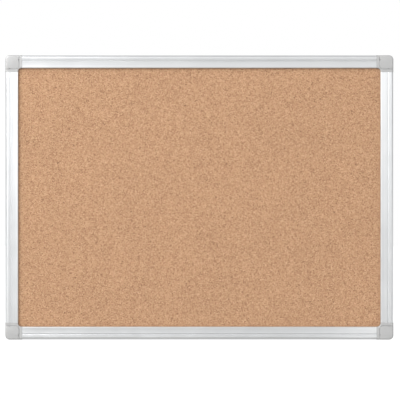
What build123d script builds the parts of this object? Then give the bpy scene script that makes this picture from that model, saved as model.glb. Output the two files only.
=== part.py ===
"""Framed cork bulletin board for a wall.

Four aluminium rails are held together by four plastic corner brackets, whose legs fill the
hollow of each rail end. A laminated panel of cork, softboard and backing paper lies in the
channel of the rails. Each corner bracket holds a wall screw in a well behind a pull-off cap.

Axes: +X to the board's right, +Z up, -Y out of the board's face. The back plane is Y = 0 and
the origin is the centre of the four wall screws. Depths are measured forward from the back.
"""

import os

from build123d import *

# Whole board
BOARD_WIDTH = 610.0
BOARD_HEIGHT = 447.0
CORNER_DEPTH = 15.1

# Aluminium rail section, measured from the rail's own outer side and from the back
RAIL_INSET = 0.1
RAIL_DEPTH = 15.0
FACE_WIDTH = 20.4
SKIN = 1.3
FLANGE_THICKNESS = 1.6
FLANGE_WIDTH = 14.2
WEB_INNER = 9.0
WEB_OUTER = 10.2
FACE_UNDERSIDE = 13.3
EDGE_RADIUS = 4.4
BAND_LEVEL = 14.9
GROOVE_START = 7.2
GROOVE_END = 10.0
GROOVE_FLOOR = 14.05
BAND_END = 19.0
BAND_HOLLOW = 14.75
LIP_SHOULDER = 13.5
LIP_FOOT_WIDTH = 1.0
JOINT_GAP = 0.15

# Laminated panel
PANEL_BACK = 1.7
BACKING_THICKNESS = 0.5
CORE_THICKNESS = 7.0
CORK_THICKNESS = 2.5
PANEL_EDGE_GAP = 0.5
PANEL_CORNER_CLIP = 9.0
PANEL_FRONT = PANEL_BACK + BACKING_THICKNESS + CORE_THICKNESS + CORK_THICKNESS
PANEL_EDGE = RAIL_INSET + WEB_OUTER + PANEL_EDGE_GAP

# Corner bracket
CORNER_SIZE = 26.5
CORNER_ROUND = 7.0
SIGHT_EDGE = RAIL_INSET + FACE_WIDTH
COVE_RADIUS = 5.0
OUTER_EDGE_ROUND = 2.6
INNER_EDGE_ROUND = 1.4
REAR_WINDOW = RAIL_INSET + FLANGE_WIDTH
REAR_WINDOW_ROUND = 6.0
FLOOR_THICKNESS = 2.2
WELL_START = 3.4
WELL_END = 20.0
WELL_DIAGONAL = 28.0
WELL_CORNER_ROUND = 4.8
POCKET_GAP = 0.2

# Corner cap and the seat it sits in
CAP_SIZE = 22.0
CAP_INNER_ROUND = 6.0
CAP_TOP = 15.4
CAP_CROWN_RADIUS = 160.0
CAP_UNDERSIDE = 13.5
CAP_GAP = 0.3
SEAT_LEVEL = 13.4
SKIRT_THICKNESS = 1.5
SKIRT_BOTTOM = 9.2
REBATE_BOTTOM = 9.0
CAP_EDGE_ROUND = 2.6
CAP_SEAM_ROUND = 0.6
PRY_NOTCH_PLACE = 7.5
PRY_NOTCH_RADIUS = 1.6
TONGUE_CENTRE = 14.5
TONGUE_WIDTH = 5.0
TONGUE_THICKNESS = 1.2
TONGUE_TIP = 7.5
TONGUE_GAP = 0.4
TONGUE_ROOT = 0.5
BARB_REACH = 0.7
BARB_NOSE = 1.2
BARB_LAND = 0.4
BARB_TOP = 9.8
TRACK_DEPTH = 0.7
TRACK_BOTTOM = 7.0

# Wall screw seat in each bracket
WALL_SCREW_INSET = 10.5
WALL_HOLE_RADIUS = 2.5
WALL_SINK_RADIUS = 4.4
SINK_ANGLE = 90
BOSS_RADIUS = 5.4
BOSS_TOP = 5.0

# Bracket legs inside the rails
LEG_LENGTH = 34.0
LEG_GAP = 0.2
LEG_ROOT = 2.0
LEG_TIP_CHAMFER = 1.2
LEG_EDGE_CHAMFER = 3.1
LEG_WINDOW_LENGTH = 8.5
LEG_WINDOW_HEIGHT = 6.0
LEG_WINDOW_ROUND = 1.0
LEG_WINDOW_PLACES = (8.0, 26.0)

# Countersunk self-tapping screws that hold the rails to the legs
FRAME_SCREW_PLACE = 17.0
FRAME_SCREW_LENGTH = 9.5
THREAD_RADIUS = 1.4
THREAD_CORE_RADIUS = 1.1
THREAD_PITCH = 1.1
HEAD_RADIUS = 2.6
HEAD_RIM = 0.15
CROSS_LENGTH = 3.0
CROSS_WIDTH = 0.7
CROSS_DEPTH = 0.8
HEAD_SUNK = 0.05
POINT_LENGTH = 1.4
CLEARANCE_HOLE_RADIUS = 1.65
CLEARANCE_SINK_RADIUS = 2.8
PILOT_RADIUS = 1.45
PILOT_DEPTH = 10.6

CUT_PAST = 1.0
CHAMBER_MIDDLE = RAIL_INSET + (SKIN + WEB_INNER) / 2
FRAME_SCREW_FROM_EDGE = CORNER_SIZE + FRAME_SCREW_PLACE

# The bottom left corner: X in from the left edge, Y up from the bottom edge, Z forward
corner_plane = Plane(
    origin=(-BOARD_WIDTH / 2, 0, -BOARD_HEIGHT / 2), x_dir=(1, 0, 0), z_dir=(0, -1, 0)
)

os.makedirs("parts", exist_ok=True)


def back_plane(x, z):
    """Plane on the back of the board at a place, facing the wall."""
    return Plane(origin=(x, 0, z), x_dir=(1, 0, 0), z_dir=(0, 1, 0))


def to_other_side(piece, right, top):
    """Copy a bottom left piece to the left or right, bottom or top corner."""
    with BuildPart() as placed:
        add(piece)
        if right:
            mirror(about=Plane.YZ, mode=Mode.REPLACE)
        if top:
            mirror(about=Plane.XY, mode=Mode.REPLACE)
    return placed.part


def write(piece, name):
    """Name a finished piece and write it to its own file."""
    piece.label = name
    export_step(piece, f"parts/{name}.step")


def make_rail(section_plane, length, screw_places):
    """One extruded rail: a hollow for the bracket legs and a channel for the panel."""
    groove_middle = (GROOVE_START + GROOVE_END) / 2
    band_middle = (GROOVE_END + BAND_END) / 2
    with BuildPart() as rail:
        with BuildSketch(section_plane):
            with BuildLine():
                Line((0, 0), (0, RAIL_DEPTH - EDGE_RADIUS))
                RadiusArc(
                    (0, RAIL_DEPTH - EDGE_RADIUS), (EDGE_RADIUS, RAIL_DEPTH), EDGE_RADIUS
                )
                Line((EDGE_RADIUS, RAIL_DEPTH), (GROOVE_START, BAND_LEVEL))
                ThreePointArc(
                    (GROOVE_START, BAND_LEVEL),
                    (groove_middle, GROOVE_FLOOR),
                    (GROOVE_END, BAND_LEVEL),
                )
                ThreePointArc(
                    (GROOVE_END, BAND_LEVEL), (band_middle, BAND_HOLLOW), (BAND_END, BAND_LEVEL)
                )
                TangentArc((BAND_END, BAND_LEVEL), (FACE_WIDTH, LIP_SHOULDER), tangent=(1, 0))
                Polyline(
                    (FACE_WIDTH, LIP_SHOULDER),
                    (FACE_WIDTH, PANEL_FRONT),
                    (FACE_WIDTH - LIP_FOOT_WIDTH, PANEL_FRONT),
                    (FACE_WIDTH - LIP_FOOT_WIDTH - (FACE_UNDERSIDE - PANEL_FRONT), FACE_UNDERSIDE),
                    (WEB_OUTER, FACE_UNDERSIDE),
                    (WEB_OUTER, FLANGE_THICKNESS),
                    (FLANGE_WIDTH, FLANGE_THICKNESS),
                    (FLANGE_WIDTH, 0),
                    (0, 0),
                )
            make_face()
            with BuildLine():
                Polyline(
                    (SKIN, FLANGE_THICKNESS),
                    (WEB_INNER, FLANGE_THICKNESS),
                    (WEB_INNER, FACE_UNDERSIDE),
                    (EDGE_RADIUS, FACE_UNDERSIDE),
                    (SKIN, FACE_UNDERSIDE - EDGE_RADIUS + SKIN),
                    close=True,
                )
            make_face(mode=Mode.SUBTRACT)
        extrude(amount=length)
        with Locations(*[back_plane(x, z) for x, z in screw_places]):
            CounterSinkHole(
                CLEARANCE_HOLE_RADIUS,
                CLEARANCE_SINK_RADIUS,
                depth=FLANGE_THICKNESS + CUT_PAST,
                counter_sink_angle=SINK_ANGLE,
            )
    return rail.part


# Rails: the long pair runs along X and the short pair along Z, between the corner brackets
long_length = BOARD_WIDTH - 2 * (CORNER_SIZE + JOINT_GAP)
short_length = BOARD_HEIGHT - 2 * (CORNER_SIZE + JOINT_GAP)
screw_x = BOARD_WIDTH / 2 - FRAME_SCREW_FROM_EDGE
screw_z = BOARD_HEIGHT / 2 - FRAME_SCREW_FROM_EDGE
bottom_line = -BOARD_HEIGHT / 2 + CHAMBER_MIDDLE
left_line = -BOARD_WIDTH / 2 + CHAMBER_MIDDLE

rail_bottom = make_rail(
    Plane(
        origin=(-long_length / 2, 0, -BOARD_HEIGHT / 2 + RAIL_INSET),
        x_dir=(0, 0, 1),
        z_dir=(1, 0, 0),
    ),
    long_length,
    [(-screw_x, bottom_line), (screw_x, bottom_line)],
)
rail_left = make_rail(
    Plane(
        origin=(-BOARD_WIDTH / 2 + RAIL_INSET, 0, short_length / 2),
        x_dir=(1, 0, 0),
        z_dir=(0, 0, -1),
    ),
    short_length,
    [(left_line, -screw_z), (left_line, screw_z)],
)
write(rail_bottom, "rail_bottom")
write(to_other_side(rail_bottom, right=False, top=True), "rail_top")
write(rail_left, "rail_left")
write(to_other_side(rail_left, right=True, top=False), "rail_right")


# Panel: three sheets of one outline, glued face to face, with clipped corners
def make_sheet(back, thickness):
    """One layer of the panel, its corners clipped to pass the wall screw wells."""
    with BuildPart() as sheet:
        with BuildSketch(Plane.XZ.offset(back)) as outline:
            Rectangle(BOARD_WIDTH - 2 * PANEL_EDGE, BOARD_HEIGHT - 2 * PANEL_EDGE)
            chamfer(outline.vertices(), PANEL_CORNER_CLIP)
        extrude(amount=thickness)
    return sheet.part


core_back = PANEL_BACK + BACKING_THICKNESS
cork_back = core_back + CORE_THICKNESS
write(make_sheet(PANEL_BACK, BACKING_THICKNESS), "backing_sheet")
write(make_sheet(core_back, CORE_THICKNESS), "core_board")
write(make_sheet(cork_back, CORK_THICKNESS), "cork_sheet")


# Planes across the bottom left corner: X in from one outer side, Y forward from the back.
# Their origins slide along the other side by a given distance.
def across_corner(distance):
    """The two section planes of the corner, one cut across each of its sides."""
    left, bottom = -BOARD_WIDTH / 2, -BOARD_HEIGHT / 2
    return (
        Plane(origin=(left, 0, bottom + distance), x_dir=(1, 0, 0), z_dir=(0, 0, -1)),
        Plane(origin=(left + distance, 0, bottom), x_dir=(0, 0, 1), z_dir=(1, 0, 0)),
    )


leg_sides = across_corner(0)
tongue_sides = across_corner(TONGUE_CENTRE)

# Corner bracket: the bottom left one, built in place
leg_start = RAIL_INSET + SKIN + LEG_GAP
leg_width = WEB_INNER - SKIN - 2 * LEG_GAP
leg_back = FLANGE_THICKNESS + LEG_GAP
leg_height = FACE_UNDERSIDE - FLANGE_THICKNESS - 2 * LEG_GAP
leg_middle_depth = leg_back + leg_height / 2
seat_size = CAP_SIZE + CAP_GAP
rebate_width = SKIRT_THICKNESS + CAP_GAP
pocket_start = PANEL_EDGE - POCKET_GAP
well_turn = WELL_DIAGONAL - WELL_END

with BuildPart() as corner_base:
    # Block with the large outer round and the cove that frames the cork's corner
    with BuildSketch(corner_plane) as plan:
        Rectangle(CORNER_SIZE, CORNER_SIZE, align=(Align.MIN, Align.MIN))
        fillet(plan.vertices().group_by(Axis.X)[0].sort_by(Axis.Y)[0], CORNER_ROUND)
        with BuildSketch(mode=Mode.SUBTRACT) as cove:
            with Locations((SIGHT_EDGE, SIGHT_EDGE)):
                Rectangle(CORNER_SIZE, CORNER_SIZE, align=(Align.MIN, Align.MIN))
            fillet(cove.vertices().group_by(Axis.X)[0].sort_by(Axis.Y)[0], COVE_RADIUS)
    extrude(amount=CORNER_DEPTH)
    front_edges = corner_base.faces().sort_by(Axis.Y)[0].edges()
    cove_edge = front_edges.filter_by(GeomType.CIRCLE).sort_by(Edge.length)[0]
    fillet(cove_edge, INNER_EDGE_ROUND)
    front_edges = corner_base.faces().sort_by(Axis.Y)[0].edges()
    side_edges = front_edges.group_by(Axis.X)[0] + front_edges.group_by(Axis.Z)[0]
    fillet(side_edges, OUTER_EDGE_ROUND)

    # Slot that takes the panel's clipped corner, open towards the board's middle
    with BuildSketch(corner_plane.offset(FLANGE_THICKNESS)) as pocket:
        with Locations((pocket_start, pocket_start)):
            Rectangle(CORNER_SIZE, CORNER_SIZE, align=(Align.MIN, Align.MIN))
        chamfer(pocket.vertices().group_by(Axis.X)[0].sort_by(Axis.Y)[0], PANEL_CORNER_CLIP)
    extrude(amount=PANEL_FRONT - FLANGE_THICKNESS, mode=Mode.SUBTRACT)

    # Rear plate trimmed to the width of the rails' flanges
    with BuildSketch(corner_plane) as window:
        with Locations((REAR_WINDOW, REAR_WINDOW)):
            Rectangle(CORNER_SIZE, CORNER_SIZE, align=(Align.MIN, Align.MIN))
        fillet(window.vertices().group_by(Axis.X)[0].sort_by(Axis.Y)[0], REAR_WINDOW_ROUND)
    extrude(amount=FLANGE_THICKNESS, mode=Mode.SUBTRACT)

    # Seat for the cap's plate
    with BuildSketch(corner_plane.offset(SEAT_LEVEL)) as seat:
        with Locations((-CUT_PAST, -CUT_PAST)):
            Rectangle(
                seat_size + CUT_PAST, seat_size + CUT_PAST, align=(Align.MIN, Align.MIN)
            )
        fillet(
            seat.vertices().group_by(Axis.X)[-1].sort_by(Axis.Y)[-1], CAP_INNER_ROUND + CAP_GAP
        )
    extrude(amount=CORNER_DEPTH, mode=Mode.SUBTRACT)

    # Rebate round the outside for the cap's skirt
    with BuildSketch(corner_plane.offset(REBATE_BOTTOM)) as rebate:
        with Locations((-CUT_PAST, -CUT_PAST)):
            Rectangle(
                seat_size + CUT_PAST, seat_size + CUT_PAST, align=(Align.MIN, Align.MIN)
            )
        with BuildSketch(mode=Mode.SUBTRACT) as kept:
            with Locations((rebate_width, rebate_width)):
                Rectangle(CORNER_SIZE, CORNER_SIZE, align=(Align.MIN, Align.MIN))
            fillet(
                kept.vertices().group_by(Axis.X)[0].sort_by(Axis.Y)[0],
                CORNER_ROUND - rebate_width,
            )
    extrude(amount=SEAT_LEVEL - REBATE_BOTTOM, mode=Mode.SUBTRACT)

    # Well behind the cap
    with BuildSketch(corner_plane.offset(FLOOR_THICKNESS)) as well:
        with BuildLine():
            Polyline(
                (WELL_START, WELL_START),
                (WELL_END, WELL_START),
                (WELL_END, well_turn),
                (well_turn, WELL_END),
                (WELL_START, WELL_END),
                close=True,
            )
        make_face()
        fillet(well.vertices().sort_by_distance((0, 0))[0], WELL_CORNER_ROUND)
    extrude(amount=CORNER_DEPTH, mode=Mode.SUBTRACT)

    # Tracks in the well's outer walls for the barbs of the cap's tongues
    with BuildSketch(corner_plane.offset(TRACK_BOTTOM)):
        with Locations((WELL_START, TONGUE_CENTRE)):
            Rectangle(2 * TRACK_DEPTH, TONGUE_WIDTH + 2 * CAP_GAP)
        with Locations((TONGUE_CENTRE, WELL_START)):
            Rectangle(TONGUE_WIDTH + 2 * CAP_GAP, 2 * TRACK_DEPTH)
    extrude(amount=CORNER_DEPTH, mode=Mode.SUBTRACT)

    # Boss with the countersunk wall screw hole
    with BuildSketch(corner_plane):
        with Locations((WALL_SCREW_INSET, WALL_SCREW_INSET)):
            Circle(BOSS_RADIUS)
    extrude(amount=BOSS_TOP)
    with Locations(corner_plane.offset(BOSS_TOP)):
        with Locations((WALL_SCREW_INSET, WALL_SCREW_INSET)):
            CounterSinkHole(WALL_HOLE_RADIUS, WALL_SINK_RADIUS, counter_sink_angle=SINK_ANGLE)

    # Legs, one into each neighbouring rail, with windows moulded through and a chamfered tip
    for side, way in zip(across_corner(CORNER_SIZE - LEG_ROOT), (-1, 1)):
        with BuildSketch(side) as leg_section:
            with Locations((leg_start, leg_back)):
                Rectangle(leg_width, leg_height, align=(Align.MIN, Align.MIN))
            chamfer(
                leg_section.vertices().group_by(Axis.Y)[-1].sort_by(Axis.X)[0], LEG_EDGE_CHAMFER
            )
        extrude(amount=way * (LEG_LENGTH + LEG_ROOT))
    tip_faces = [
        corner_base.faces().sort_by(Axis.X)[-1],
        corner_base.faces().sort_by(Axis.Z)[-1],
    ]
    chamfer([edge for face in tip_faces for edge in face.edges()], LEG_TIP_CHAMFER)

    for side in leg_sides:
        with BuildSketch(side):
            with Locations(
                *[(CORNER_SIZE + place, leg_middle_depth) for place in LEG_WINDOW_PLACES]
            ):
                RectangleRounded(LEG_WINDOW_LENGTH, LEG_WINDOW_HEIGHT, LEG_WINDOW_ROUND)
        extrude(amount=REAR_WINDOW, both=True, mode=Mode.SUBTRACT)

    # Pilot holes for the frame screws
    with Locations(back_plane(-screw_x, bottom_line), back_plane(left_line, -screw_z)):
        Hole(PILOT_RADIUS, depth=PILOT_DEPTH)


# Corner cap: a thin plate with a skirt over the bracket's outer sides and two snap tongues
tongue_outer = WELL_START + TONGUE_GAP
tongue_inner = tongue_outer + TONGUE_THICKNESS
barb_tip = tongue_outer - BARB_REACH

with BuildPart() as corner_cap:
    with BuildSketch(corner_plane.offset(SKIRT_BOTTOM)) as cap_plan:
        Rectangle(CAP_SIZE, CAP_SIZE, align=(Align.MIN, Align.MIN))
        fillet(cap_plan.vertices().group_by(Axis.X)[0].sort_by(Axis.Y)[0], CORNER_ROUND)
        fillet(cap_plan.vertices().group_by(Axis.X)[-1].sort_by(Axis.Y)[-1], CAP_INNER_ROUND)
    extrude(amount=CAP_TOP - SKIRT_BOTTOM)
    with Locations(corner_plane.offset(CAP_TOP - CAP_CROWN_RADIUS)):
        with Locations((CAP_SIZE / 2, CAP_SIZE / 2)):
            Sphere(CAP_CROWN_RADIUS, rotation=(90, 0, 0), mode=Mode.INTERSECT)
    with BuildSketch(corner_plane.offset(SKIRT_BOTTOM)) as hollow:
        with Locations((SKIRT_THICKNESS, SKIRT_THICKNESS)):
            Rectangle(CORNER_SIZE, CORNER_SIZE, align=(Align.MIN, Align.MIN))
        fillet(
            hollow.vertices().group_by(Axis.X)[0].sort_by(Axis.Y)[0],
            CORNER_ROUND - SKIRT_THICKNESS,
        )
    extrude(amount=CAP_UNDERSIDE - SKIRT_BOTTOM, mode=Mode.SUBTRACT)

    outer_point = corner_plane.from_local_coords((0, 0, CAP_TOP))
    inner_point = corner_plane.from_local_coords((CAP_SIZE, CAP_SIZE, CAP_TOP))
    front_edges = corner_cap.faces().sort_by(Axis.Y)[0].edges()
    fillet(
        [
            front_edges.sort_by(Axis.X)[0],
            front_edges.sort_by(Axis.Z)[0],
            front_edges.sort_by_distance(outer_point)[0],
        ],
        CAP_EDGE_ROUND,
    )
    front_edges = corner_cap.faces().sort_by(Axis.Y)[0].edges()
    fillet(
        [
            front_edges.sort_by(Axis.X)[-1],
            front_edges.sort_by(Axis.Z)[-1],
            front_edges.sort_by_distance(inner_point)[0],
        ],
        CAP_SEAM_ROUND,
    )

    # Half-round notch in each inner edge, to lift the cap out with a blade
    with BuildSketch(corner_plane.offset(CAP_UNDERSIDE)):
        with Locations((CAP_SIZE, PRY_NOTCH_PLACE), (PRY_NOTCH_PLACE, CAP_SIZE)):
            Circle(PRY_NOTCH_RADIUS)
    extrude(amount=CAP_TOP, mode=Mode.SUBTRACT)

    for side in tongue_sides:
        with BuildSketch(side):
            with BuildLine():
                Polyline(
                    (tongue_outer, CAP_UNDERSIDE + TONGUE_ROOT),
                    (tongue_inner, CAP_UNDERSIDE + TONGUE_ROOT),
                    (tongue_inner, TONGUE_TIP),
                    (tongue_outer, TONGUE_TIP),
                    (barb_tip, TONGUE_TIP + BARB_NOSE),
                    (barb_tip, TONGUE_TIP + BARB_NOSE + BARB_LAND),
                    (tongue_outer, BARB_TOP),
                    close=True,
                )
            make_face()
        extrude(amount=TONGUE_WIDTH / 2, both=True)


# Frame screw: countersunk, cross recessed, with rings that stand for its thread
cone_end = HEAD_SUNK + HEAD_RIM + HEAD_RADIUS - THREAD_CORE_RADIUS
thread_turns = int((FRAME_SCREW_LENGTH - POINT_LENGTH - cone_end) / THREAD_PITCH)
thread_end = cone_end + thread_turns * THREAD_PITCH

with BuildPart() as frame_screw:
    with BuildSketch(Plane.XY):
        with BuildLine():
            outline = [
                (0, -HEAD_SUNK),
                (HEAD_RADIUS, -HEAD_SUNK),
                (HEAD_RADIUS, -HEAD_SUNK - HEAD_RIM),
                (THREAD_CORE_RADIUS, -cone_end),
            ]
            for turn in range(thread_turns):
                outline.append((THREAD_RADIUS, -cone_end - (turn + 0.5) * THREAD_PITCH))
                outline.append((THREAD_CORE_RADIUS, -cone_end - (turn + 1) * THREAD_PITCH))
            outline.append((0, -thread_end - POINT_LENGTH))
            Polyline(*outline, close=True)
        make_face()
    revolve(axis=Axis.Y)
    with BuildSketch(back_plane(0, 0).offset(-HEAD_SUNK)):
        Rectangle(CROSS_LENGTH, CROSS_WIDTH)
        Rectangle(CROSS_WIDTH, CROSS_LENGTH)
    extrude(amount=-CROSS_DEPTH, mode=Mode.SUBTRACT)

with BuildPart() as frame_screws:
    with Locations((-screw_x, 0, bottom_line), (left_line, 0, -screw_z)):
        add(frame_screw.part)


# Each corner gets its own bracket, cap and pair of screws
corners = {
    "bottom_left": (False, False),
    "bottom_right": (True, False),
    "top_left": (False, True),
    "top_right": (True, True),
}
for corner, (right, top) in corners.items():
    write(to_other_side(corner_base.part, right, top), f"corner_base_{corner}")
    write(to_other_side(corner_cap.part, right, top), f"corner_cap_{corner}")
    write(to_other_side(frame_screws.part, right, top), f"frame_screws_{corner}")
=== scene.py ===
"""Framed cork bulletin board: aluminium rails, plastic corners and a cork panel for a wall."""
import math

import bpy
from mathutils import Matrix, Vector


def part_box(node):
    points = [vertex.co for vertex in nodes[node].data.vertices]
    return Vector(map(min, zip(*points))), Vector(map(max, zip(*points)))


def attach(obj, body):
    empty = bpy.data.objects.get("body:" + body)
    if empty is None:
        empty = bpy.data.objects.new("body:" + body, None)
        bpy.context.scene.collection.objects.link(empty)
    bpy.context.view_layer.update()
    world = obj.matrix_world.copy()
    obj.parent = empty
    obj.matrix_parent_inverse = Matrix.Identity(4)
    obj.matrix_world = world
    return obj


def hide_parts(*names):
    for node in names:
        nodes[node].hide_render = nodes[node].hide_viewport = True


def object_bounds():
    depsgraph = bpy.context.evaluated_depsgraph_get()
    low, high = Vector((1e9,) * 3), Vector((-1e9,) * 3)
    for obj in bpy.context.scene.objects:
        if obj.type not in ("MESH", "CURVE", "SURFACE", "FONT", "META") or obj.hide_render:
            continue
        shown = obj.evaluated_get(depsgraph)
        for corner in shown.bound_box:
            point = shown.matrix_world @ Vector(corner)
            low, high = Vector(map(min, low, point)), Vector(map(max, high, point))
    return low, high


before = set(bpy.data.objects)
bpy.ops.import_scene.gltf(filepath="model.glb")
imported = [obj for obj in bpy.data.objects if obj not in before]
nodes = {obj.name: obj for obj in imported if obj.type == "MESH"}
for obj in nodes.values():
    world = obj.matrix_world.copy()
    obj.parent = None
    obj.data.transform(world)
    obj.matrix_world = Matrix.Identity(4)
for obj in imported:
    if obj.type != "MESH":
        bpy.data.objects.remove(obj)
cad_box = [list(corner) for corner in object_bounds()]

# Aluminium rails -------------------------------------------------------------------------
# Four lengths of one extrusion in clear anodised aluminium, sawn square and pushed over the
# legs of the corner brackets. Brushing along the rail before anodising leaves hair lines, and
# the film turns the bare metal's mirror into a pale satin.
MM = 0.001


def linear(hex_colour):
    """The linear colour of an sRGB hex value."""
    channels = [int(hex_colour[i : i + 2], 16) / 255 for i in (1, 3, 5)]
    return [c / 12.92 if c <= 0.04045 else ((c + 0.055) / 1.055) ** 2.4 for c in channels] + [1]


def add_node(tree, kind, inputs=None, **settings):
    """Add a shader node; each input takes a value or another node's output."""
    node = tree.nodes.new(kind)
    for name, value in settings.items():
        setattr(node, name, value)
    for key, value in (inputs or {}).items():
        if isinstance(value, bpy.types.NodeSocket):
            tree.links.new(value, node.inputs[key])
        else:
            node.inputs[key].default_value = value
    return node


def new_material(name, **values):
    """A material, its tree and its shader, with even values set on the shader's sockets."""
    material = bpy.data.materials.new(name)
    material.use_nodes = True
    shader = material.node_tree.nodes["Principled BSDF"]
    for socket, value in values.items():
        shader.inputs[socket.replace("_", " ")].default_value = value
    return material, material.node_tree, shader


def dress(piece, material):
    """Give a piece one material all over."""
    piece.data.materials.clear()
    piece.data.materials.append(material)


def anodised_aluminium(name, along):
    """Clear anodised aluminium with brush lines along one axis: 0 for X, 2 for Z."""
    # Real brush lines are under 0.1 mm apart, and these are drawn coarser so that they show
    line_gap = 0.45 * MM
    line_length = 90 * MM
    line_depth = 0.02 * MM
    line_roughness = 0.06
    streak_gap = 2.2 * MM
    streak_length = 240 * MM
    # Handling leaves smudges that are duller than the clean film
    smudge = 28 * MM
    clean_roughness = 0.27
    smudged_roughness = 0.36
    material, tree, shader = new_material(name, Metallic=1.0, Anisotropic=0.55)
    place = add_node(tree, "ShaderNodeTexCoord").outputs["Object"]

    def lines(gap, length, detail):
        """Noise drawn out along the rail, one line every gap."""
        scale = [1 / gap] * 3
        scale[along] = 1 / length
        drawn = add_node(tree, "ShaderNodeMapping", {"Vector": place, "Scale": scale})
        noise = {"Vector": drawn.outputs[0], "Scale": 1.0, "Detail": detail}
        return add_node(tree, "ShaderNodeTexNoise", noise).outputs["Fac"]

    hair = lines(line_gap, line_length, 2.0)
    streaks = lines(streak_gap, streak_length, 1.0)
    handled = add_node(
        tree, "ShaderNodeTexNoise", {"Vector": place, "Scale": 1 / smudge, "Detail": 4.0}
    ).outputs["Fac"]
    tone = add_node(
        tree,
        "ShaderNodeMix",
        {"Factor": streaks, 6: linear("#D9DBDD"), 7: linear("#E7E8E9")},
        data_type="RGBA",
    )
    dulled = add_node(
        tree,
        "ShaderNodeMapRange",
        {
            "Value": handled,
            "From Min": 0.35,
            "From Max": 0.7,
            "To Min": clean_roughness,
            "To Max": smudged_roughness,
        },
    )
    rough = add_node(
        tree,
        "ShaderNodeMath",
        {0: hair, 1: line_roughness, 2: dulled.outputs[0]},
        operation="MULTIPLY_ADD",
    )
    relief = add_node(
        tree, "ShaderNodeBump", {"Height": hair, "Strength": 0.25, "Distance": line_depth}
    )
    # The lines spread reflections across the rail
    across = [0, 0, 0]
    across[2 - along] = 1
    tangent = add_node(tree, "ShaderNodeCombineXYZ", dict(enumerate(across)))
    tree.links.new(tone.outputs[2], shader.inputs["Base Color"])
    tree.links.new(rough.outputs[0], shader.inputs["Roughness"])
    tree.links.new(relief.outputs[0], shader.inputs["Normal"])
    tree.links.new(tangent.outputs[0], shader.inputs["Tangent"])
    return material


level_finish = anodised_aluminium("anodised aluminium, brushed level", 0)
upright_finish = anodised_aluminium("anodised aluminium, brushed upright", 2)
for side in ("top", "bottom"):
    dress(nodes[f"rail_{side}"], level_finish)
for side in ("left", "right"):
    dress(nodes[f"rail_{side}"], upright_finish)

# Corner brackets and caps ----------------------------------------------------------------
# Injection moulded ABS in silver grey: a bracket joins two rails, and a cap snaps over it. The
# tool's spark eroded face gives a fine even grain with a soft gloss, and the pearl pigment
# lifts the tone where the light comes straight back.
CORNERS = ("bottom_left", "bottom_right", "top_left", "top_right")
# The real grain is about 0.1 mm, and this one is drawn coarser so that it shows
ABS_GRAIN = 0.35 * MM
ABS_GRAIN_DEPTH = 0.03 * MM
FLOW_MARK = 9 * MM
material, tree, shader = new_material("ABS, silver grey", Metallic=0.4, IOR=1.53)
place = add_node(tree, "ShaderNodeTexCoord").outputs["Object"]
grain = add_node(
    tree, "ShaderNodeTexNoise", {"Vector": place, "Scale": 1 / ABS_GRAIN, "Detail": 2.0}
).outputs["Fac"]
flow = add_node(
    tree,
    "ShaderNodeTexNoise",
    {"Vector": place, "Scale": 1 / FLOW_MARK, "Detail": 3.0, "Distortion": 0.6},
).outputs["Fac"]
tone = add_node(
    tree,
    "ShaderNodeMix",
    {"Factor": flow, 6: linear("#ACACAC"), 7: linear("#B5B5B5")},
    data_type="RGBA",
)
rough = add_node(
    tree, "ShaderNodeMapRange", {"Value": flow, "To Min": 0.36, "To Max": 0.5}
)
relief = add_node(
    tree, "ShaderNodeBump", {"Height": grain, "Strength": 0.3, "Distance": ABS_GRAIN_DEPTH}
)
tree.links.new(tone.outputs[2], shader.inputs["Base Color"])
tree.links.new(rough.outputs[0], shader.inputs["Roughness"])
tree.links.new(relief.outputs[0], shader.inputs["Normal"])
for corner in CORNERS:
    dress(nodes[f"corner_base_{corner}"], material)
    dress(nodes[f"corner_cap_{corner}"], material)

# Panel core ------------------------------------------------------------------------------
# Softboard, wood fibre felted wet and dried, that grips the pins. It is loose and matt, and
# shows only at its sawn edges inside the frame.
FIBRE_WIDTH = 1.2 * MM
FIBRE_LENGTH = 4 * MM
FELT_DEPTH = 0.3 * MM
material, tree, shader = new_material("softboard", Roughness=0.95)
place = add_node(tree, "ShaderNodeTexCoord").outputs["Object"]
drawn = add_node(
    tree,
    "ShaderNodeMapping",
    {"Vector": place, "Scale": (1 / FIBRE_LENGTH, 1 / FIBRE_WIDTH, 1 / FIBRE_LENGTH)},
)
felt = add_node(
    tree, "ShaderNodeTexNoise", {"Vector": drawn.outputs[0], "Scale": 1.0, "Detail": 5.0}
).outputs["Fac"]
tone = add_node(
    tree,
    "ShaderNodeMix",
    {"Factor": felt, 6: linear("#7A6244"), 7: linear("#B09468")},
    data_type="RGBA",
)
relief = add_node(
    tree, "ShaderNodeBump", {"Height": felt, "Strength": 0.8, "Distance": FELT_DEPTH}
)
tree.links.new(tone.outputs[2], shader.inputs["Base Color"])
tree.links.new(relief.outputs[0], shader.inputs["Normal"])
dress(nodes["core_board"], material)

# Cork sheet ------------------------------------------------------------------------------
# Cork granules pressed into a block with binder, sliced to a thin sheet and sanded. The cut
# granules run from straw to bark brown, dark binder shows between them, and those that tore
# out in sanding leave the face slightly pitted.
CORK_SPACING = 1.95 * MM
TEAR = 4.2 * MM
TEAR_DEPTH = 0.16 * MM
SWELL = 9 * MM
SWELL_DEPTH = 0.12 * MM
# The sheet's corners are cut off by this much along each side, to pass the screw wells
CLIP = 9 * MM
CREASE = math.radians(50)


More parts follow.
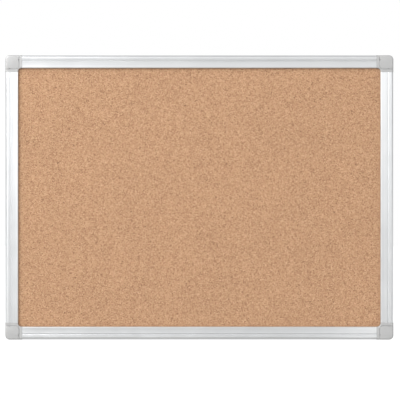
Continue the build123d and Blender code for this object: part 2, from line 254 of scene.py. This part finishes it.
def sheet_with_relief(name, node, spacing, faces_wall, reliefs):
    """A sheet in a node's place with clipped corners, its seen face pressed in by textures."""
    low, high = (Vector(corner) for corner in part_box(node))
    size = high - low
    middle = (low + high) / 2
    seen, hidden = (high.y, low.y) if faces_wall else (low.y, high.y)
    inward = -1 if faces_wall else 1
    turn = math.radians(-90 if faces_wall else 90)
    bpy.ops.object.select_all(action="DESELECT")
    bpy.ops.mesh.primitive_grid_add(
        x_subdivisions=round(size.x / spacing),
        y_subdivisions=round(size.z / spacing),
        size=1,
        location=(middle.x, seen, middle.z),
        rotation=(turn, 0, 0),
    )
    piece = bpy.context.object
    piece.name = piece.data.name = name
    piece.scale = (size.x, size.z, 1)
    bpy.ops.object.transform_apply(location=True, rotation=True, scale=True)
    bpy.ops.object.mode_set(mode="EDIT")
    for right in (-1, 1):
        for up in (-1, 1):
            bpy.ops.mesh.select_all(action="SELECT")
            bpy.ops.mesh.bisect(
                plane_co=(middle.x + right * (size.x / 2 - CLIP), seen, middle.z + up * size.z / 2),
                plane_no=(right, 0, up),
                clear_outer=True,
            )
    bpy.ops.object.mode_set(mode="OBJECT")
    for kind, grain, depth, settings in reliefs:
        texture = bpy.data.textures.new(f"{name} {kind}", kind)
        texture.noise_scale = grain
        for key, value in settings.items():
            setattr(texture, key, value)
        bpy.ops.object.modifier_add(type="DISPLACE")
        press = piece.modifiers[-1]
        press.texture = texture
        press.texture_coords = "LOCAL"
        press.direction = "Y"
        press.mid_level = 0
        press.strength = inward * depth
        bpy.ops.object.modifier_apply(modifier=press.name)
    bpy.ops.object.mode_set(mode="EDIT")
    bpy.ops.mesh.select_all(action="SELECT")
    bpy.ops.mesh.region_to_loop()
    bpy.ops.mesh.extrude_edges_move(
        TRANSFORM_OT_translate={"value": (0, inward * size.y, 0)}
    )
    bpy.ops.transform.resize(value=(1, 0, 1), center_override=(0, hidden, 0))
    bpy.ops.mesh.edge_face_add()
    bpy.ops.mesh.select_all(action="SELECT")
    bpy.ops.mesh.normals_make_consistent(inside=False)
    bpy.ops.object.mode_set(mode="OBJECT")
    bpy.ops.object.shade_smooth_by_angle(angle=CREASE)
    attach(piece, "frame")
    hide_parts(node)
    return piece


cork = sheet_with_relief(
    "cork_relief",
    "cork_sheet",
    CORK_SPACING,
    False,
    (
        ("VORONOI", TEAR, TEAR_DEPTH, {"noise_intensity": 1.0}),
        ("CLOUDS", SWELL, SWELL_DEPTH, {"noise_depth": 2}),
    ),
)

GRANULE = 1.5 * MM
GRANULE_WANDER = 1.1
CHIP = 0.8 * MM
CHIP_WANDER = 1.0
CHIP_SHARE = 0.36
PORE = 0.3 * MM
CORK_DEPTH = 0.3 * MM
CLUMP = 6 * MM
BATCH = 70 * MM
material, tree, shader = new_material("agglomerated cork", IOR=1.45)
place = add_node(tree, "ShaderNodeTexCoord").outputs["Object"]


def torn_edges(size, wander):
    """Coordinates pushed about so that cells of a size get ragged, bitten edges."""
    bites_per_cell = 2.2
    bites = {"Vector": place, "Scale": bites_per_cell / size, "Detail": 3.0, "Roughness": 0.65}
    noise = add_node(tree, "ShaderNodeTexNoise", bites)
    return add_node(
        tree,
        "ShaderNodeVectorMath",
        {0: noise.outputs["Color"], 1: (wander * size,) * 3, 2: place},
        operation="MULTIPLY_ADD",
    ).outputs[0]


def cells(size, wander, feature):
    """Ragged cells of a size: their random colour, or the distance to their edge."""
    inputs = {"Vector": torn_edges(size, wander), "Scale": 1 / size}
    return add_node(tree, "ShaderNodeTexVoronoi", inputs, feature=feature)


granules = cells(GRANULE, GRANULE_WANDER, "F1").outputs["Color"]
binder = cells(GRANULE, GRANULE_WANDER, "DISTANCE_TO_EDGE").outputs["Distance"]
chips = cells(CHIP, CHIP_WANDER, "F1").outputs["Color"]
granule_draw = add_node(tree, "ShaderNodeSeparateColor", {0: granules}).outputs
chip_draw = add_node(tree, "ShaderNodeSeparateColor", {0: chips}).outputs
drawn = add_node(
    tree,
    "ShaderNodeMix",
    {"Factor": CHIP_SHARE, "A": granule_draw[0], "B": chip_draw[0]},
).outputs[0]
tints = add_node(tree, "ShaderNodeValToRGB", {"Fac": drawn})
CORK_TINTS = (
    (0.06, "#755642"),
    (0.14, "#966F56"),
    (0.30, "#AE8569"),
    (0.50, "#B78F71"),
    (0.72, "#BF9879"),
    (0.95, "#CEA98C"),
)
ramp = tints.color_ramp
while len(ramp.elements) < len(CORK_TINTS):
    ramp.elements.new(0.5)
for stop, (position, tint) in zip(ramp.elements, CORK_TINTS):
    stop.position = position
    stop.color = linear(tint)


def shade_by(tree, colour, factor, low, high, darkest, lightest):
    """Multiply a colour by a grey that follows a factor between two levels."""
    grey = add_node(
        tree,
        "ShaderNodeMapRange",
        {"Value": factor, "From Min": low, "From Max": high, "To Min": darkest, "To Max": lightest},
    )
    return add_node(
        tree,
        "ShaderNodeMix",
        {"Factor": 1.0, 6: colour, 7: grey.outputs[0]},
        data_type="RGBA",
        blend_type="MULTIPLY",
    ).outputs[2]


def speckle(size, detail):
    """Fine cloudy noise whose features are about one size across."""
    inputs = {"Vector": place, "Scale": 1 / size, "Detail": detail}
    return add_node(tree, "ShaderNodeTexNoise", inputs).outputs["Fac"]


# Granules differ a little in warmth as well as in tone
warmth = add_node(
    tree,
    "ShaderNodeMix",
    {"Factor": granule_draw[1], 6: linear("#FFFAF5"), 7: linear("#FCFEF3")},
    data_type="RGBA",
)
colour = add_node(
    tree,
    "ShaderNodeMix",
    {"Factor": 1.0, 6: tints.outputs[0], 7: warmth.outputs[2]},
    data_type="RGBA",
    blend_type="MULTIPLY",
).outputs[2]
pores = speckle(PORE, 3.0)
colour = shade_by(tree, colour, binder, 0.0, 0.14, 0.76, 1.02)
colour = shade_by(tree, colour, pores, 0.3, 0.7, 0.86, 1.12)
colour = shade_by(tree, colour, speckle(CLUMP, 2.0), 0.3, 0.7, 0.985, 1.015)
colour = shade_by(tree, colour, speckle(BATCH, 2.0), 0.3, 0.7, 0.98, 1.02)


def from_edge(axis, half_width):
    """The way in from the frame's lip towards the middle of the sheet, along one axis."""
    part = add_node(tree, "ShaderNodeSeparateXYZ", {0: place}).outputs[axis]
    out = add_node(tree, "ShaderNodeMath", {0: part}, operation="ABSOLUTE").outputs[0]
    return add_node(tree, "ShaderNodeMath", {0: half_width, 1: out}, operation="SUBTRACT").outputs[0]


# Painted shade: the cork is darkened where it meets the frame's lip, in a ragged band that rounds
# the corners, standing in for the shade that the lip casts into the recess
board_low, board_high = (Vector(corner) for corner in cad_box)
LIP = 20.5 * MM
PAINTED_SHADE_REACH = 5 * MM
PAINTED_SHADE_START = -1 * MM
PAINTED_SHADE_RAGGED = 2 * MM
CORNER_ROUND = 4 * MM
edge = add_node(
    tree,
    "ShaderNodeMath",
    {0: from_edge(0, board_high.x - LIP), 1: from_edge(2, board_high.z - LIP), 2: CORNER_ROUND},
    operation="SMOOTH_MIN",
).outputs[0]
painted_lip_shade = add_node(
    tree,
    "ShaderNodeMath",
    {0: speckle(PAINTED_SHADE_REACH, 3.0), 1: -PAINTED_SHADE_RAGGED, 2: edge},
    operation="MULTIPLY_ADD",
).outputs[0]
# Painted shade along the lip: the cork's colour is multiplied down to 0.87 at the lip and fades back
# to its own colour further in
colour = shade_by(tree, colour, painted_lip_shade, PAINTED_SHADE_START, PAINTED_SHADE_REACH + PAINTED_SHADE_START, 0.87, 1.0)
height = add_node(
    tree, "ShaderNodeMath", {0: pores, 1: 0.4, 2: binder}, operation="MULTIPLY_ADD"
)
relief = add_node(
    tree, "ShaderNodeBump", {"Height": height.outputs[0], "Strength": 0.8, "Distance": CORK_DEPTH}
)
rough = add_node(tree, "ShaderNodeMapRange", {"Value": pores, "To Min": 0.78, "To Max": 0.98})
tree.links.new(colour, shader.inputs["Base Color"])
tree.links.new(rough.outputs[0], shader.inputs["Roughness"])
tree.links.new(relief.outputs[0], shader.inputs["Normal"])
dress(cork, material)

# Backing paper ---------------------------------------------------------------------------
# Brown kraft paper glued over the back of the softboard so that the panel stays flat. Glue
# and damp leave it slightly cockled, and long fibres and bark flecks show in it.
PAPER_SPACING = 6 * MM
COCKLE = 45 * MM
COCKLE_DEPTH = 0.22 * MM
backing = sheet_with_relief(
    "backing_paper",
    "backing_sheet",
    PAPER_SPACING,
    True,
    (("CLOUDS", COCKLE, COCKLE_DEPTH, {"noise_depth": 1}),),
)
PULP_WIDTH = 3 * MM
PULP_LENGTH = 6 * MM
PULP_DEPTH = 0.1 * MM
FLECK = 5 * MM
material, tree, shader = new_material("kraft paper", Roughness=0.82)
place = add_node(tree, "ShaderNodeTexCoord").outputs["Object"]
drawn = add_node(
    tree,
    "ShaderNodeMapping",
    {"Vector": place, "Scale": (1 / PULP_LENGTH, 1 / PULP_WIDTH, 1 / PULP_WIDTH)},
)
pulp = add_node(
    tree, "ShaderNodeTexNoise", {"Vector": drawn.outputs[0], "Scale": 1.0, "Detail": 6.0}
).outputs["Fac"]
flecks = add_node(tree, "ShaderNodeTexVoronoi", {"Vector": place, "Scale": 1 / FLECK})
tone = add_node(
    tree,
    "ShaderNodeMix",
    {"Factor": pulp, 6: linear("#A9865F"), 7: linear("#BC9973")},
    data_type="RGBA",
)
colour = shade_by(tree, tone.outputs[2], flecks.outputs["Distance"], 0.06, 0.1, 0.75, 1.0)
relief = add_node(
    tree, "ShaderNodeBump", {"Height": pulp, "Strength": 0.3, "Distance": PULP_DEPTH}
)
tree.links.new(colour, shader.inputs["Base Color"])
tree.links.new(relief.outputs[0], shader.inputs["Normal"])
dress(backing, material)

# Frame screws ----------------------------------------------------------------------------
# Self-tapping steel screws, zinc plated, that hold each rail to its bracket leg from behind.
# The plating is thin and bright, with a faint blue cast and a mottled bloom.
BLOOM = 1.5 * MM
material, tree, shader = new_material("zinc plated steel", Metallic=1.0)
place = add_node(tree, "ShaderNodeTexCoord").outputs["Object"]
bloom = add_node(
    tree, "ShaderNodeTexNoise", {"Vector": place, "Scale": 1 / BLOOM, "Detail": 4.0}
).outputs["Fac"]
tone = add_node(
    tree,
    "ShaderNodeMix",
    {"Factor": bloom, 6: linear("#A9AEB6"), 7: linear("#D3D6DA")},
    data_type="RGBA",
)
rough = add_node(tree, "ShaderNodeMapRange", {"Value": bloom, "To Min": 0.2, "To Max": 0.42})
tree.links.new(tone.outputs[2], shader.inputs["Base Color"])
tree.links.new(rough.outputs[0], shader.inputs["Roughness"])
for corner in CORNERS:
    dress(nodes[f"frame_screws_{corner}"], material)

# Studio ----------------------------------------------------------------------------------
# A white studio: soft light all round that is brightest to the upper left of the camera, one
# large softbox on that side, a faint narrow one from the lower right, and a pale floor that
# fades to white behind the board.
scene = bpy.context.scene
scene.view_settings.view_transform = "Standard"

world = bpy.data.worlds.new("white studio")
scene.world = world
world.use_nodes = True
tree = world.node_tree
tree.nodes.clear()
WHITE = (1, 1, 1, 1)
way = add_node(tree, "ShaderNodeTexCoord").outputs["Generated"]


def glow(total, right, up, spread, amount):
    """Add a soft patch, so many degrees right of and above the way to the camera."""
    right, up = math.radians(right), math.radians(up)
    middle = (math.sin(right) * math.cos(up), -math.cos(right) * math.cos(up), math.sin(up))
    near = add_node(tree, "ShaderNodeVectorMath", {0: way, 1: middle}, operation="DOT_PRODUCT")
    patch = add_node(
        tree,
        "ShaderNodeMapRange",
        {
            "Value": near.outputs["Value"],
            "From Min": math.cos(math.radians(spread)),
            "From Max": 1.0,
            "To Min": 0.0,
            "To Max": amount,
        },
        interpolation_type="SMOOTHSTEP",
    )
    return add_node(tree, "ShaderNodeMath", {0: total, 1: patch.outputs[0]}).outputs[0]


# Patches that brighten it left and right of the camera, then patches that darken it overhead
# and at both sides
AROUND = 0.92
light = glow(AROUND, -34, 22, 27, 2.3)
light = glow(light, -26, 12, 18, 1.0)
light = glow(light, 24, 12, 16, 0.8)
light = glow(light, 36, 22, 34, 0.15)
light = glow(light, 0, 90, 55, -0.3)
light = glow(light, -95, 5, 48, -0.5)
light = glow(light, 95, 0, 48, -0.4)
soft = add_node(tree, "ShaderNodeBackground", {"Color": WHITE, "Strength": light})
seen = add_node(tree, "ShaderNodeBackground", {"Color": WHITE, "Strength": 1.0})
ray = add_node(tree, "ShaderNodeLightPath")
mixed = add_node(
    tree,
    "ShaderNodeMixShader",
    {"Fac": ray.outputs["Is Camera Ray"], 1: soft.outputs[0], 2: seen.outputs[0]},
)
add_node(tree, "ShaderNodeOutputWorld", {"Surface": mixed.outputs[0]})


def softbox(name, place, aim, size, power, spread=180):
    """A square area light at a place, turned towards a point; its grid narrows the beam."""
    bpy.ops.object.light_add(type="AREA", location=place)
    light = bpy.context.object
    light.name = name
    light.data.size = size
    light.data.energy = power
    light.data.spread = math.radians(spread)
    light.visible_camera = False
    light.rotation_euler = (light.location - Vector(aim)).to_track_quat("Z", "Y").to_euler()


softbox("key light", place=(-2.0, -1.85, 1.8), aim=(0, 0, 0), size=2.6, power=78)
softbox(
    "low light",
    place=(0.37, -0.6, -0.41),
    aim=(0.31, 0, -0.19),
    size=0.14,
    power=0.009,
    spread=40,
)

FLOOR_LEVEL = -0.45
FLOOR_WIDTH = 24
bpy.ops.object.select_all(action="DESELECT")
bpy.ops.mesh.primitive_plane_add(size=FLOOR_WIDTH, location=(0, 0, FLOOR_LEVEL))
floor = bpy.context.object
floor.name = "floor"
bpy.ops.object.transform_apply(location=True)
material, tree, shader = new_material("pale floor", Roughness=0.9)
shader.inputs["Emission Color"].default_value = WHITE
place = add_node(tree, "ShaderNodeTexCoord").outputs["Object"]
GREY_MIDDLE = (0, -3.5, FLOOR_LEVEL)
GREY_END = 3.0
WHITE_START = 4.6
reach = add_node(
    tree, "ShaderNodeVectorMath", {0: place, 1: GREY_MIDDLE}, operation="DISTANCE"
)
white_out = add_node(
    tree,
    "ShaderNodeMapRange",
    {"Value": reach.outputs["Value"], "From Min": GREY_END, "From Max": WHITE_START},
    interpolation_type="SMOOTHSTEP",
)
paint = add_node(
    tree,
    "ShaderNodeMix",
    {"Factor": white_out.outputs[0], 6: linear("#B2B2B0"), 7: linear("#000000")},
    data_type="RGBA",
)
tree.links.new(paint.outputs[2], shader.inputs["Base Color"])
tree.links.new(white_out.outputs[0], shader.inputs["Emission Strength"])
dress(floor, material)

# Camera: square on to the board, a little to the right of its middle and below it
FIELD = 628.0 * MM
LENS = 135
SENSOR = 36
CAMERA_X = 1.0 * MM
CAMERA_Z = -4.05 * MM
bpy.ops.object.camera_add(
    location=(CAMERA_X, board_low.y - FIELD * LENS / SENSOR, CAMERA_Z),
    rotation=(math.radians(90), 0, 0),
)
camera = bpy.context.object
camera.data.lens = LENS
camera.data.sensor_width = SENSOR
scene.camera = camera
